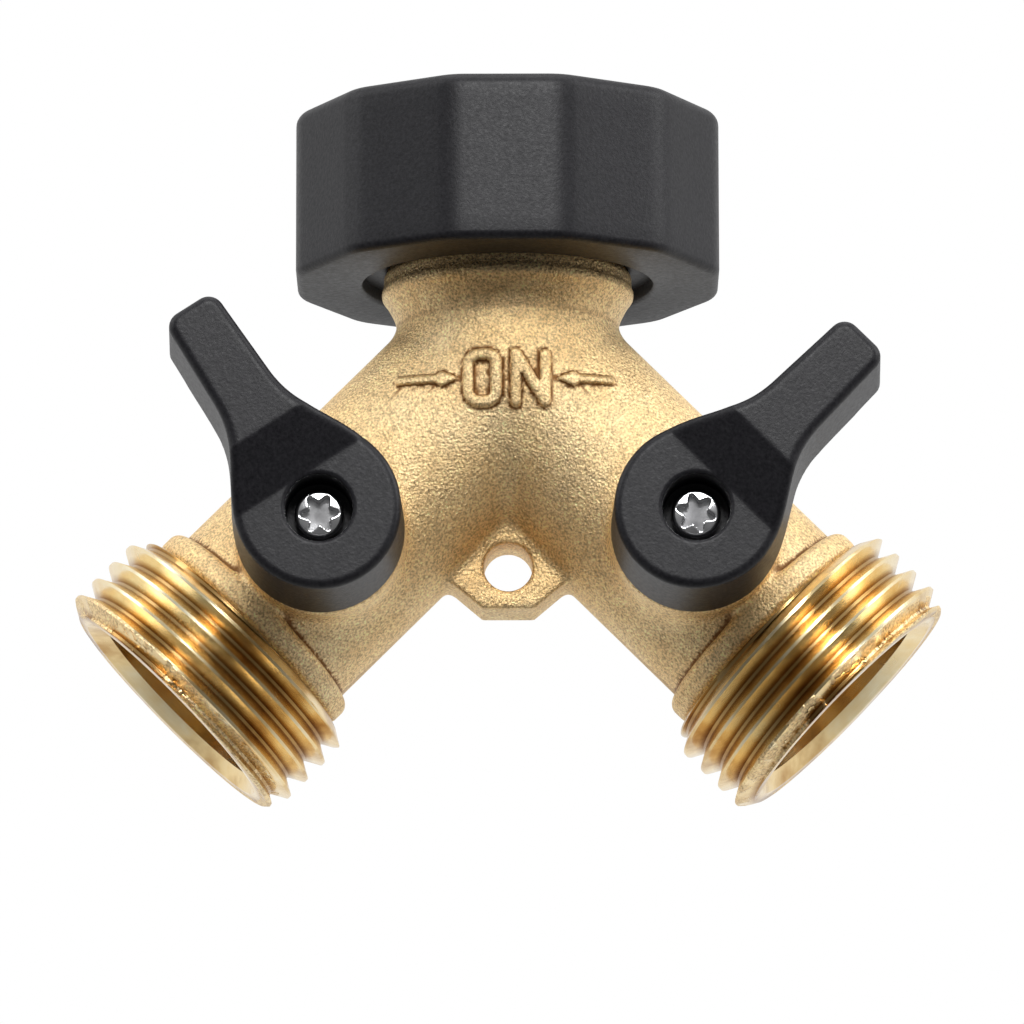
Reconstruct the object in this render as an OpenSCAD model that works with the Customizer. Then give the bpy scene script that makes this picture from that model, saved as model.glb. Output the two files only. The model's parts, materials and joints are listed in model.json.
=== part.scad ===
// Two-way garden hose splitter: a cast Y body with a swivel inlet nut and two quarter-turn ball valves.
// Frame: +Z up along the inlet, levers on the -Y side, origin at the middle of the inlet washer's top face.

/* [Inlet nut] */
// Radius of the grip over its corners
grip_corner_r = 20.4; // [18:0.1:26]
// Height of the grip
grip_height = 15.8; // [13:0.1:22]
// Radius of the grip's top and bottom edges
grip_edge_r = 1.8; // [0.6:0.1:2.4]
// Radius of the opening in the underside of the grip
grip_mouth_r = 13.55; // [12.6:0.05:14.5]
// Thickness of the lip that closes the grip under the nut
grip_lip_t = 1.5; // [1:0.1:3]
// Wall of the brass nut outside its thread
nut_wall = 1.85; // [1.2:0.05:3]
// Thickness of the flange that the retaining ring carries
nut_flange_t = 1.8; // [1.2:0.1:3]
// Number of ribs that key the nut into the grip
nut_ribs = 8; // [4:1:12]
// How far a rib stands out of the nut
nut_rib_h = 0.7; // [0.3:0.1:1]
// Width of a rib, in degrees
nut_rib_angle = 8; // [4:1:20]
// Distance between a rib's ends and those of the nut
nut_rib_end = 1.5; // [0.5:0.1:3]
// How far the nut's top is sunk in the grip
nut_sink = 0.3; // [0.2:0.05:1]
// Chamfer at the mouth of the nut's thread
nut_chamfer = 0.5; // [0.2:0.1:0.8]

/* [Hose thread 3/4-11.5 NH] */
// Pitch of the thread
thread_pitch = 2.209; // [1.8:0.001:2.6]
// Radius over the crests of the outlet thread
male_crest_r = 13.5; // [12.9:0.01:13.6]
// Depth of the outlet thread
male_depth = 1.43; // [1:0.01:1.6]
// Turns on each outlet
male_turns = 4; // [3:1:5]
// Distance from the last crest to the outlet's end
last_crest_drop = 1; // [1:0.1:2]
// Radius of the inlet thread at its crests
female_crest_r = 12.3; // [12.1:0.01:12.8]
// Depth of the inlet thread
female_depth = 1.35; // [1:0.01:1.6]
// Turns in the inlet nut
female_turns = 3; // [2:1:3]
// Flat on each crest and in each root
thread_flat = 0.276; // [0.2:0.001:0.4]

/* [Inlet washer] */
// Thickness of the washer
washer_t = 2.7; // [2:0.1:3.5]
// Outer radius of the washer's ring
washer_r = 12.15; // [11:0.05:13]
// Radius of the washer's hole
washer_hole_r = 8.15; // [6:0.05:9]
// Width of each holding nub
washer_nub_w = 3.4; // [2:0.1:5]

/* [Neck] */
// Radius of the neck inside the nut
neck_r = 11; // [10.4:0.05:11.4]
// Radius of the waterway in the neck
neck_bore_r = 8.5; // [6:0.1:9]
// Depth of the retaining ring's groove
groove_depth = 0.7; // [0.4:0.05:1]
// Thickness of the retaining ring
ring_t = 1; // [0.8:0.1:1.6]
// How far the retaining ring stands out of the neck
ring_proud = 1; // [0.6:0.05:1.1]
// Width of the gap in the retaining ring
ring_gap_w = 4; // [2:0.5:8]
// Height of the neck above the groove
neck_lip_h = 1; // [0.8:0.1:2]
// How far the cast shoulder stands out of the neck
shoulder_step = 0.55; // [0.3:0.05:1]
// Height of the cast shoulder
shoulder_h = 2.3; // [1.5:0.1:4]
// Height of the cone under the shoulder
shoulder_cone_h = 2.4; // [1:0.1:4]
// Distance from the top of the shoulder to the junction of the arms
neck_len = 9.9; // [8:0.1:14]
// Height above the junction at which the waterway starts to narrow
throat_h = 3; // [1:0.1:6]
// Depth below the junction at which the narrowing ends
throat_drop = 2; // [1:0.1:4]

/* [Arms] */
// Angle between each arm and the vertical
arm_angle = 45; // [42:0.5:60]
// Wall of the arms round the valve chamber
arm_wall = 2; // [1.5:0.1:3.5]
// Radius of the waterway between the junction and the valves
waterway_r = 5.5; // [4:0.1:6.5]
// Distance from the junction to the stem's axis
stem_a = 24.2; // [23:0.1:32]
// How far the collar behind the thread stands out of the arm
collar_rise = 1.15; // [0.5:0.05:1.6]
// Width of the collar
collar_w = 2.6; // [2:0.1:3.5]
// Radius of the outlet bore
outlet_bore_r = 9.75; // [9:0.05:10.2]
// Depth of the outlet bore
outlet_depth = 8.7; // [7.6:0.1:12]
// Radius of the outlet's mouth
outlet_mouth_r = 10.8; // [10.3:0.05:11.4]
// Length of the outlet from the collar to its end
outlet_len = 9.4; // [9.2:0.1:11]

/* [Hanging tab] */
// Thickness of the tab
tab_t = 6; // [3:0.1:8]
// Radius of the hole in the tab
tab_hole_r = 2.25; // [1.5:0.05:3]
// Distance from the crotch of the arms to the hole's centre
tab_hole_drop = 4; // [3.5:0.1:8]
// Distance from the hole's centre to the tab's lower edge
tab_edge = 3.95; // [3.2:0.05:8]
// Width of the tab's lower edge
tab_edge_w = 4.8; // [3:0.1:8]
// Height of the tab's slanted corners
tab_corner_h = 2.6; // [1:0.1:3]

/* [Valves] */
// Radius of the ball
ball_r = 6.5; // [5.6:0.05:8]
// Radius of the hole through the ball
port_r = 4; // [3:0.05:4.2]
// Gap between the ball and the chamber's wall
chamber_gap = 1.7; // [1.5:0.1:3]
// Length of each ball seat
seat_len = 3.4; // [2.6:0.1:5]
// Length of the threaded retainer behind the outer seat
retainer_len = 3.3; // [2.5:0.1:5]
// Radius across the corners of the retainer's hexagon socket
retainer_hex_r = 5.4; // [5:0.1:6.5]
// Radius of the stem
stem_r = 3; // [2.8:0.05:3.6]
// Thickness of the stem's flange
flange_t = 1.4; // [1:0.1:2]
// How far the flange stands out of the stem
flange_step = 1.25; // [0.8:0.05:1.6]
// Thickness of the thrust washer over the flange
thrust_t = 0.5; // [0.3:0.1:1]
// Width of the stem's tang
tang_w = 2.2; // [1.6:0.1:2.6]
// Depth of the tang in the ball
tang_depth = 1.9; // [1.2:0.1:2.1]
// Length of the tang
tang_len = 5.5; // [4:0.1:6]
// Thickness of the stem seals
seal_t = 0.84; // [0.6:0.02:1.1]
// Width across the flats of the square that drives the lever
square_w = 4.6; // [4.2:0.1:5.2]

/* [Valve bosses] */
// Radius of the boss under each lever
boss_r = 7.7; // [7.2:0.1:9]
// How far the boss stands out of the arm
boss_rise = 2.4; // [2:0.1:4]
// Height of the stop ring on the boss
stop_h = 1.1; // [0.8:0.1:2]
// Wall of the stop ring round the stem
stop_wall = 2.2; // [1.2:0.1:2.4]
// How far the stop lug stands out of the stop ring
stop_lug = 0.85; // [0.5:0.05:1]
// Width of the stop lug, in degrees
stop_lug_angle = 20; // [12:1:30]

/* [Levers] */
// Radius of the lever's hub
hub_r = 7.7; // [7.2:0.1:9]
// Thickness of the hub
hub_t = 10.3; // [9:0.1:14]
// Distance from the stem's axis to the lever's tip
lever_reach = 22; // [15:0.1:22.2]
// Half of the handle's width at its tip
tip_half_w = 2.75; // [2:0.05:2.9]
// Radius of the corners of the handle's tip
tip_round = 1.4; // [1.2:0.1:1.8]
// Half of the handle's width at its root
root_half_w = 3.05; // [2.6:0.05:4]
// Distance from the stem's axis to the foot of the ramp
ramp_from = 3.3; // [3.2:0.1:5]
// Distance from the stem's axis to the top of the ramp
ramp_to = 8.4; // [7:0.1:10]
// Angle from the handle at which its sides leave the hub
flare_angle = 70; // [60:1:80]
// How far the handle's face stands above the hub's
ramp_rise = 2.5; // [0.5:0.1:4]
// Gap between the body and the back of the handle, beyond the hub's own gap
handle_lift = 1.3; // [0.5:0.1:4]
// Radius of the screw recess
recess_r = 3.1; // [2.8:0.1:3.2]
// Thickness of the web under the screw
web_t = 0.9; // [0.8:0.1:2]
// Length of the stem's square in the lever
square_len = 4.2; // [1.8:0.1:5]
// How far the left lever is turned open, in degrees
left_open = 12; // [0:0.5:90]
// How far the right lever is turned open, in degrees
right_open = 0; // [0:0.5:90]

/* [Lever screws] */
// Radius of the screw's thread
screw_r = 1.5; // [1:0.05:1.6]
// Radius of the screw's head
screw_head_r = 2.25; // [2:0.05:2.7]
// Height of the screw's head
screw_head_h = 1.7; // [1.2:0.1:2.5]
// Length of the screw under its head
screw_len = 6; // [4:0.1:8]
// Width of each slot of the star recess
star_slot_w = 0.6; // [0.4:0.05:0.8]
// Length of each slot of the star recess, through the screw's axis
star_slot_len = 2.8; // [2:0.1:3.4]
// Depth of the star recess
star_depth = 1.1; // [0.6:0.1:1.2]

/* [Clearances] */
// Between the washer and the neck
washer_gap = 0.1; // [0.05:0.05:0.3]
// Between the nut's flange and the neck
nut_gap = 0.3; // [0.2:0.05:0.5]
// Between the nut and the cast shoulder under it
shoulder_gap = 0.4; // [0.3:0.05:1]
// Between the retaining ring and the nut's flange
ring_gap = 0.2; // [0.1:0.05:0.4]
// Between the seat and the ball
seat_gap = 0.1; // [0.05:0.05:0.2]
// Between the seat and the chamber's wall
seat_side_gap = 0.1; // [0.05:0.05:0.2]
// Between the stem and its bore
stem_gap = 0.05; // [0.02:0.01:0.1]
// Between the stem's flange and the ball
flange_gap = 0.15; // [0.1:0.05:0.3]
// Between the stem's flange and the thrust washer
thrust_gap = 0.05; // [0.02:0.01:0.1]
// Round the tang in the ball's slot
slot_gap = 0.1; // [0.05:0.05:0.2]
// Between a lever and the body
lever_gap = 0.3; // [0.2:0.05:0.6]
// Between a lever and the stop ring
stop_gap = 0.2; // [0.15:0.05:0.4]
// Play of the stop lug at each end of the travel, in degrees
stop_play = 0.5; // [0.2:0.1:2]

/* [Hidden] */
$fn = 96;
eps = 0.01;
travel = 90;

// Small steps between neighbouring surfaces
relief_step = 0.05;
column_step = 0.1;
pocket_step = 0.15;
seat_bore_step = 0.1;
retainer_bore_step = 0.5;
seal_room = 0.3;
screw_room = 0.1;
screw_hole_spare = 0.5;
grip_corner_trim = 0.4;
thread_bed = 0.5;
tab_root = 1;

cast_brass = [0.80, 0.63, 0.38];
turned_brass = [0.86, 0.66, 0.28];
black_plastic = [0.10, 0.10, 0.11];
black_rubber = [0.06, 0.06, 0.06];
white_ptfe = [0.93, 0.93, 0.91];
bright_steel = [0.80, 0.81, 0.83];

// Heights along Z, from the washer's top face down
neck_top = -(washer_t + washer_gap);
groove_top = neck_top - neck_lip_h;
groove_bottom = groove_top - ring_t;
flange_top = groove_bottom - ring_gap;
nut_bottom = flange_top - nut_flange_t;
grip_bottom = nut_bottom - grip_lip_t;
grip_top = grip_bottom + grip_height;
nut_top = grip_top - nut_sink;
shoulder_top = nut_bottom - shoulder_gap;
junction_z = shoulder_top - neck_len;

// Radii of the neck and the nut
groove_r = neck_r - groove_depth;
ring_r = neck_r + ring_proud;
shoulder_r = neck_r + shoulder_step;
flange_bore_r = neck_r + nut_gap;
female_root_r = female_crest_r + female_depth;
relief_r = female_root_r + relief_step;
nut_r = female_root_r + nut_wall;
female_flank = female_depth * tan(30);
thread_floor = 0;
male_root_r = male_crest_r - male_depth;
male_flank = male_depth * tan(30);

// Radii and places along an arm, measured from the junction
chamber_r = ball_r + chamber_gap;
arm_r = chamber_r + arm_wall;
column_r = arm_r + column_step;
collar_r = arm_r + collar_rise;
seat_face = ball_r * sin(45);
seat_back = seat_face + seat_len;
retainer_from = stem_a + seat_back;
retainer_to = retainer_from + retainer_len;
arm_end = retainer_to + outlet_depth;
thread_from = arm_end - outlet_len;
collar_from = thread_from - collar_w;
last_crest_a = arm_end - last_crest_drop;

// Heights of the valve's pieces towards the front, from the arm's axis
flange_from = ball_r + flange_gap;
flange_to = flange_from + flange_t;
thrust_from = flange_to + thrust_gap;
pocket_top = thrust_from + thrust_t;
flange_r = min(stem_r + flange_step, seat_face - seat_gap);
pocket_r = flange_r + pocket_step;
boss_top = arm_r + boss_rise;
stop_top = boss_top + stop_h;
stop_r = stem_r + stem_gap + stop_wall;
hub_from = boss_top + lever_gap;
hub_to = hub_from + hub_t;
handle_from = hub_from + handle_lift;
handle_to = hub_to + ramp_rise;
cavity_top = stop_top + stop_gap;
cavity_r = stop_r + stop_gap;
stem_top = stop_top + square_len;
recess_floor = stem_top + web_t;
seal_mid_r = stem_r + stem_gap / 2 - seal_t / 2;
seal_groove_r = seal_mid_r - seal_t / 2;
seal_groove_w = seal_t + seal_room;
seal_land = (boss_top - pocket_top - 2 * seal_groove_w) / 3;
lower_seal = pocket_top + seal_land + seal_groove_w / 2;
upper_seal = lower_seal + seal_land + seal_groove_w;

// The crotch is where the arms' undersides meet
crotch_z = junction_z - arm_r / sin(arm_angle);
tab_hole_z = crotch_z - tab_hole_drop;
tab_bottom = tab_hole_z - tab_edge;

// Puts a piece drawn along +Z onto the right arm, or mirrored onto the left one
module on_arm(side) {
    mirror([side < 0 ? 1 : 0, 0, 0])
        translate([0, 0, junction_z])
            rotate([0, 180 - arm_angle, 0])
                children();
}

// The valve's own frame on an arm: origin on the stem's axis, +Z towards the front
module on_valve(side) {
    on_arm(side) translate([0, 0, stem_a]) rotate([90, 0, 0]) children();
}

// A valve piece that turns with the lever, drawn as it stands when the valve is shut
module turned(side) {
    on_valve(side) rotate([0, 0, side < 0 ? left_open : right_open]) children();
}

module tube(r, hole_r, from, to) {
    translate([0, 0, from])
        difference() {
            cylinder(r = r, h = to - from);
            translate([0, 0, -1]) cylinder(r = hole_r, h = to - from + 2);
        }
}

module rod(r, from, to) {
    translate([0, 0, from]) cylinder(r = r, h = to - from);
}

// One ring of the outlet thread, around its crest at height a
module male_ring(a) {
    rotate_extrude()
        polygon([
            [male_root_r - thread_bed, a - thread_flat / 2 - male_flank],
            [male_root_r, a - thread_flat / 2 - male_flank],
            [male_crest_r, a - thread_flat / 2],
            [male_crest_r, a + thread_flat / 2],
            [male_root_r, a + thread_flat / 2 + male_flank],
            [male_root_r - thread_bed, a + thread_flat / 2 + male_flank]
        ]);
}

// One groove of the inlet thread, around its root at height z
module female_groove(z) {
    rotate_extrude()
        polygon([
            [female_crest_r - thread_bed, z - thread_flat / 2 - female_flank],
            [female_crest_r, z - thread_flat / 2 - female_flank],
            [female_root_r, z - thread_flat / 2],
            [female_root_r, z + thread_flat / 2],
            [female_crest_r, z + thread_flat / 2 + female_flank],
            [female_crest_r - thread_bed, z + thread_flat / 2 + female_flank]
        ]);
}

// --- The casting ---------------------------------------------------------------------------------

module neck_outside() {
    difference() {
        union() {
            rod(neck_r, shoulder_top - eps, neck_top);
            rod(shoulder_r, shoulder_top - shoulder_h, shoulder_top);
            translate([0, 0, shoulder_top - shoulder_h - shoulder_cone_h])
                cylinder(r1 = column_r, r2 = shoulder_r, h = shoulder_cone_h);
            rod(column_r, junction_z, shoulder_top - shoulder_h - shoulder_cone_h);
            translate([0, 0, junction_z]) sphere(r = column_r);
        }
        tube(neck_r + 1, groove_r, groove_bottom, groove_top);
    }
}

module arm_outside() {
    rod(arm_r, 0, collar_from + collar_w / 2);
    translate([0, 0, collar_from + collar_w / 2])
        rotate_extrude() {
            translate([0, -collar_w / 2]) square([collar_r - collar_w / 2, collar_w]);
            translate([collar_r - collar_w / 2, 0]) intersection() {
                circle(r = collar_w / 2);
                translate([0, -collar_w]) square([collar_w, 2 * collar_w]);
            }
        }
    rod(male_root_r, thread_from, arm_end);
    for (turn = [0 : male_turns - 1])
        male_ring(last_crest_a - turn * thread_pitch);
}

module arm_inside() {
    rod(waterway_r, 0, stem_a);
    rod(chamber_r, stem_a - seat_back, retainer_to + eps);
    rod(outlet_bore_r, retainer_to, arm_end + 1);
    translate([0, 0, arm_end - (outlet_mouth_r - outlet_bore_r)])
        cylinder(
            r1 = outlet_bore_r, r2 = outlet_mouth_r + eps,
            h = outlet_mouth_r - outlet_bore_r + eps
        );
}

module boss_outside() {
    rod(boss_r, 0, boss_top);
    rod(stop_r, boss_top - eps, stop_top);
    rotate([0, 0, 45 - stop_lug_angle / 2])
        rotate_extrude(angle = stop_lug_angle)
            translate([stop_r - 1, boss_top - eps]) square([1 + stop_lug, stop_h + eps]);
}

module boss_inside() {
    rod(pocket_r, 0, pocket_top);
    rod(stem_r + stem_gap, 0, stop_top + 1);
}

// The tab fills the crotch and reaches a little into both arms
module tab() {
    corner_z = tab_bottom + tab_corner_h;
    corner_x = (crotch_z - corner_z) * tan(arm_angle) + tab_root / 10;
    root_x = corner_x + tab_root;
    root_z = corner_z + tab_root / tan(arm_angle) + tab_root / 2;
    top_z = crotch_z + arm_r / 4;
    translate([0, tab_t / 2, 0]) rotate([90, 0, 0])
        linear_extrude(tab_t)
            polygon([
                [-tab_edge_w / 2, tab_bottom], [tab_edge_w / 2, tab_bottom],
                [corner_x, corner_z], [root_x, root_z],
                [tab_root, top_z], [-tab_root, top_z],
                [-root_x, root_z], [-corner_x, corner_z]
            ]);
}

module valve_body() {
    color(cast_brass)
        difference() {
            union() {
                neck_outside();
                for (side = [-1, 1]) {
                    on_arm(side) arm_outside();
                    on_valve(side) boss_outside();
                }
                tab();
            }
            rod(neck_bore_r, junction_z + throat_h, neck_top + 1);
            translate([0, 0, junction_z - throat_drop])
                cylinder(r1 = waterway_r, r2 = neck_bore_r, h = throat_h + throat_drop + eps);
            for (side = [-1, 1]) {
                on_arm(side) arm_inside();
                on_valve(side) boss_inside();
            }
            translate([0, tab_t, tab_hole_z]) rotate([90, 0, 0])
                cylinder(r = tab_hole_r, h = 2 * tab_t);
        }
}

// --- The swivel nut -------------------------------------------------------------------------------

module nut_outside() {
    rod(nut_r, nut_bottom, nut_top);
    for (rib = [0 : nut_ribs - 1])
        rotate([0, 0, (rib + 0.5) * 360 / nut_ribs])
            rotate_extrude(angle = nut_rib_angle)
                translate([nut_r - nut_rib_h, nut_bottom + nut_rib_end])
                    square([2 * nut_rib_h, nut_top - nut_bottom - 2 * nut_rib_end]);
}

module swivel_nut() {
    color(turned_brass)
        difference() {
            nut_outside();
            rod(flange_bore_r, nut_bottom - 1, nut_top);
            rod(relief_r, flange_top, thread_floor);
            rod(female_crest_r, flange_top, nut_top + 1);
            for (turn = [0 : female_turns - 1])
                female_groove(thread_floor + (turn + 0.5) * thread_pitch);
            translate([0, 0, nut_top - nut_chamfer])
                cylinder(r1 = female_crest_r, r2 = female_root_r, h = nut_chamfer + eps);
        }
}

// The ring that is cut away to round one end of the grip, drawn around its bottom edge
module grip_edge_cut() {
    round_r = grip_corner_r + grip_corner_trim;
    rotate_extrude()
        difference() {
            translate([round_r - grip_edge_r, -1]) square([grip_edge_r + 2, grip_edge_r + 1]);
            translate([round_r - grip_edge_r, grip_edge_r]) circle(r = grip_edge_r);
        }
}

module nut_grip() {
    color(black_plastic)
        difference() {
            translate([0, 0, grip_bottom]) rotate([0, 0, 15])
                cylinder(r = grip_corner_r, h = grip_height, $fn = 12);
            translate([0, 0, grip_bottom]) grip_edge_cut();
            translate([0, 0, grip_top]) mirror([0, 0, 1]) grip_edge_cut();
            rod(grip_mouth_r, grip_bottom - 1, nut_bottom + 1);
            nut_outside();
            rod(nut_r, nut_top - eps, grip_top + 1);
        }
}

module inlet_washer() {
    color(black_rubber)
        difference() {
            union() {
                rod(washer_r, -washer_t, 0);
                intersection() {
                    rod(relief_r, -washer_t * 0.75, -washer_t * 0.25);
                    for (turn = [0, 90])
                        rotate([0, 0, turn])
                            translate([-relief_r - 1, -washer_nub_w / 2, -washer_t])
                                cube([2 * relief_r + 2, washer_nub_w, washer_t]);
                }
            }
            rod(washer_hole_r, -washer_t - 1, 1);
        }
}

module nut_retaining_ring() {
    color(bright_steel)
        difference() {
            tube(ring_r, groove_r, groove_bottom, groove_top);
            translate([-ring_gap_w / 2, 0, groove_bottom - 1]) cube([ring_gap_w, ring_r + 1, ring_t + 2]);
        }
}

// --- Ball, seats and retainer ---------------------------------------------------------------------

// Drawn in the valve's frame, with the port across the arm
module valve_ball() {
    color(bright_steel)
        difference() {
            sphere(r = ball_r);
            rotate([0, 90, 0]) translate([0, 0, -ball_r - 1]) cylinder(r = port_r, h = 2 * ball_r + 2);
            translate([-tang_w / 2 - slot_gap, -ball_r - 1, ball_r - tang_depth - slot_gap])
                cube([tang_w + 2 * slot_gap, 2 * ball_r + 2, tang_depth + 1]);
        }
}

// Drawn along the arm from the ball's centre
module seat() {
    color(white_ptfe)
        difference() {
            tube(chamber_r - seat_side_gap, port_r + seat_bore_step, seat_face, seat_back);
            sphere(r = ball_r + seat_gap);
        }
}

module seat_retainer() {
    color(turned_brass)
        difference() {
            tube(chamber_r, port_r + retainer_bore_step, seat_back, seat_back + retainer_len);
            translate([0, 0, seat_back + retainer_len / 3])
                cylinder(r = retainer_hex_r, h = retainer_len, $fn = 6);
        }
}

// --- Stem and seals -------------------------------------------------------------------------------

module valve_stem() {
    color(turned_brass)
        difference() {
            union() {
                translate([-tang_w / 2, -tang_len / 2, ball_r - tang_depth])
                    cube([tang_w, tang_len, flange_from - ball_r + tang_depth + eps]);
                rod(flange_r, flange_from, flange_to);
                rod(stem_r, flange_from, stop_top);
                intersection() {
                    rod(stem_r, stop_top - eps, stem_top);
                    translate([-square_w / 2, -square_w / 2, stop_top - eps])
                        cube([square_w, square_w, square_len + eps]);
                }
            }
            for (seal = [lower_seal, upper_seal])
                tube(stem_r + 1, seal_groove_r, seal - seal_groove_w / 2, seal + seal_groove_w / 2);
            rod(screw_r, recess_floor - screw_len - screw_hole_spare, stem_top + 1);
        }
}

module stem_seal(height) {
    color(black_rubber)
        translate([0, 0, height])
            rotate_extrude() translate([seal_mid_r, 0]) circle(r = seal_t / 2);
}

module thrust_washer() {
    color(white_ptfe)
        tube(flange_r, stem_r + stem_gap, thrust_from, pocket_top);
}

// --- Lever and its screw --------------------------------------------------------------------------

// The lever's plan, pointing along +X: the hub, and a handle whose sides flare into it
module lever_plan() {
    flare_x = hub_r * cos(flare_angle);
    flare_y = hub_r * sin(flare_angle) - eps;
    tip_x = lever_reach - tip_round;
    circle(r = hub_r);
    polygon([
        [0, -flare_y], [flare_x, -flare_y], [ramp_to, -root_half_w], [tip_x, -tip_half_w],
        [tip_x, tip_half_w], [ramp_to, root_half_w], [flare_x, flare_y], [0, flare_y]
    ]);
    for (side = [-1, 1])
        translate([tip_x, side * (tip_half_w - tip_round)]) circle(r = tip_round);
    translate([tip_x - eps, tip_round - tip_half_w])
        square([tip_round + eps, 2 * (tip_half_w - tip_round)]);
}

// The lever seen from its side, as heights along the handle
module lever_side() {
    polygon([
        [-hub_r - 1, hub_from], [hub_r, hub_from], [hub_r + handle_lift, handle_from],
        [lever_reach + 1, handle_from], [lever_reach + 1, handle_to],
        [ramp_to, handle_to], [ramp_from, hub_to], [-hub_r - 1, hub_to]
    ]);
}

// Drawn pointing along -X, where the lever stands when the valve is shut
module lever() {
    color(black_plastic)
        rotate([0, 0, 180])
            difference() {
                intersection() {
                    linear_extrude(handle_to + 1) lever_plan();
                    translate([0, hub_r + 1, 0]) rotate([90, 0, 0])
                        linear_extrude(2 * hub_r + 2) lever_side();
                }
                rod(cavity_r, hub_from - 1, cavity_top);
                stop_pocket();
                translate([-square_w / 2, -square_w / 2, cavity_top - eps])
                    cube([square_w, square_w, stem_top - cavity_top + eps]);
                rod(screw_r + screw_room, stem_top - eps, recess_floor + eps);
                rod(recess_r, recess_floor, handle_to + 1);
            }
}

// The pocket that the stop lug moves in, on the far side of the hub from the handle
module stop_pocket() {
    pocket_angle = travel + stop_lug_angle + 2 * stop_play;
    rotate([0, 0, 180 - pocket_angle / 2])
        rotate_extrude(angle = pocket_angle)
            translate([cavity_r - 1, hub_from - 1])
                square([1 + stop_lug, cavity_top - hub_from + 1]);
}

module lever_screw() {
    head_top = recess_floor + screw_head_h;
    rim_h = screw_head_h / 2;
    color(bright_steel)
        difference() {
            union() {
                rod(screw_r, recess_floor - screw_len, recess_floor);
                rod(screw_head_r, recess_floor, head_top - rim_h);
                translate([0, 0, head_top - rim_h])
                    cylinder(r1 = screw_head_r, r2 = screw_head_r - rim_h / 2, h = rim_h);
            }
            for (turn = [0 : 60 : 120])
                rotate([0, 0, turn])
                    translate([-star_slot_len / 2, -star_slot_w / 2, head_top - star_depth])
                        cube([star_slot_len, star_slot_w, star_depth + 1]);
        }
}

module left_lever() turned(-1) lever();
module left_lever_screw() turned(-1) lever_screw();
module left_valve_stem() turned(-1) valve_stem();
module left_upper_stem_seal() turned(-1) stem_seal(upper_seal);
module left_lower_stem_seal() turned(-1) stem_seal(lower_seal);
module left_thrust_washer() on_valve(-1) thrust_washer();
module left_valve_ball() turned(-1) valve_ball();
module left_inner_seat() on_arm(-1) translate([0, 0, stem_a]) mirror([0, 0, 1]) seat();
module left_outer_seat() on_arm(-1) translate([0, 0, stem_a]) seat();
module left_seat_retainer() on_arm(-1) translate([0, 0, stem_a]) seat_retainer();

module right_lever() turned(1) lever();
module right_lever_screw() turned(1) lever_screw();
module right_valve_stem() turned(1) valve_stem();
module right_upper_stem_seal() turned(1) stem_seal(upper_seal);
module right_lower_stem_seal() turned(1) stem_seal(lower_seal);
module right_thrust_washer() on_valve(1) thrust_washer();
module right_valve_ball() turned(1) valve_ball();
module right_inner_seat() on_arm(1) translate([0, 0, stem_a]) mirror([0, 0, 1]) seat();
module right_outer_seat() on_arm(1) translate([0, 0, stem_a]) seat();
module right_seat_retainer() on_arm(1) translate([0, 0, stem_a]) seat_retainer();

valve_body();
swivel_nut();
nut_grip();
inlet_washer();
nut_retaining_ring();

left_lever();
left_lever_screw();
left_valve_stem();
left_upper_stem_seal();
left_lower_stem_seal();
left_thrust_washer();
left_valve_ball();
left_inner_seat();
left_outer_seat();
left_seat_retainer();

right_lever();
right_lever_screw();
right_valve_stem();
right_upper_stem_seal();
right_lower_stem_seal();
right_thrust_washer();
right_valve_ball();
right_inner_seat();
right_outer_seat();
right_seat_retainer();
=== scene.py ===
"""Hose splitter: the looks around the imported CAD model.

Lengths are in millimetres until a mesh is made, in the model's frame: +Z up along the inlet,
levers on the -Y side, origin on the inlet's axis.
"""

import json
import math

import bmesh
import bpy
import numpy as np
import openvdb
from mathutils import Matrix, Vector


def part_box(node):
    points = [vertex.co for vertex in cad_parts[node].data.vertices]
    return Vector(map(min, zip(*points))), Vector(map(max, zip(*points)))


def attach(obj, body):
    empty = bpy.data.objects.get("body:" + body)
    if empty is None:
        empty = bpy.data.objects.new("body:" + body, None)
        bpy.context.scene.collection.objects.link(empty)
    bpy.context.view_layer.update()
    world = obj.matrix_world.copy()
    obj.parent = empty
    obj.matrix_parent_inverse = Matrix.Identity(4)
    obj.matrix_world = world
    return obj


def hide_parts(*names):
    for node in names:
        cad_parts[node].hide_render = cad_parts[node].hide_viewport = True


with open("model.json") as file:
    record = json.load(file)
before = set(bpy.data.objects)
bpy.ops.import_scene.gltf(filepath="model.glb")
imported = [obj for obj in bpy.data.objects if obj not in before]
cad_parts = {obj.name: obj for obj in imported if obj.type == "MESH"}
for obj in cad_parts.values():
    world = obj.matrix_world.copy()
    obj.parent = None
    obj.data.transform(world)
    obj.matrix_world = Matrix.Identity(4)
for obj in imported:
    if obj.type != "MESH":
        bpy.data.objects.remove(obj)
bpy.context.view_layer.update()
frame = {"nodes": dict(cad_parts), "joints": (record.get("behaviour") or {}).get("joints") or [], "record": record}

MM = 0.001
DIAGONAL = math.sqrt(0.5)

# --- Sizes and places taken from the frame --------------------------------------------------------


def box_mm(node):
    low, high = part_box(node)
    return low / MM, high / MM


joints = {joint["name"]: joint for joint in frame["joints"]}
stem_x = joints["right_valve_turn"]["pos_m"][0] / MM
stem_z = joints["right_valve_turn"]["pos_m"][2] / MM
hub_from = -joints["right_valve_turn"]["pos_m"][1] / MM
junction_z = stem_z + stem_x
stem_a = stem_x / DIAGONAL

grip_low, grip_high = box_mm("nut_grip")
nut_low, nut_high = box_mm("swivel_nut")
body_low, body_high = box_mm("valve_body")
lever_low, _ = box_mm("right_lever")
screw_low, screw_high = box_mm("right_lever_screw")

# --- Sizes of the casting -------------------------------------------------------------------------

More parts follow.
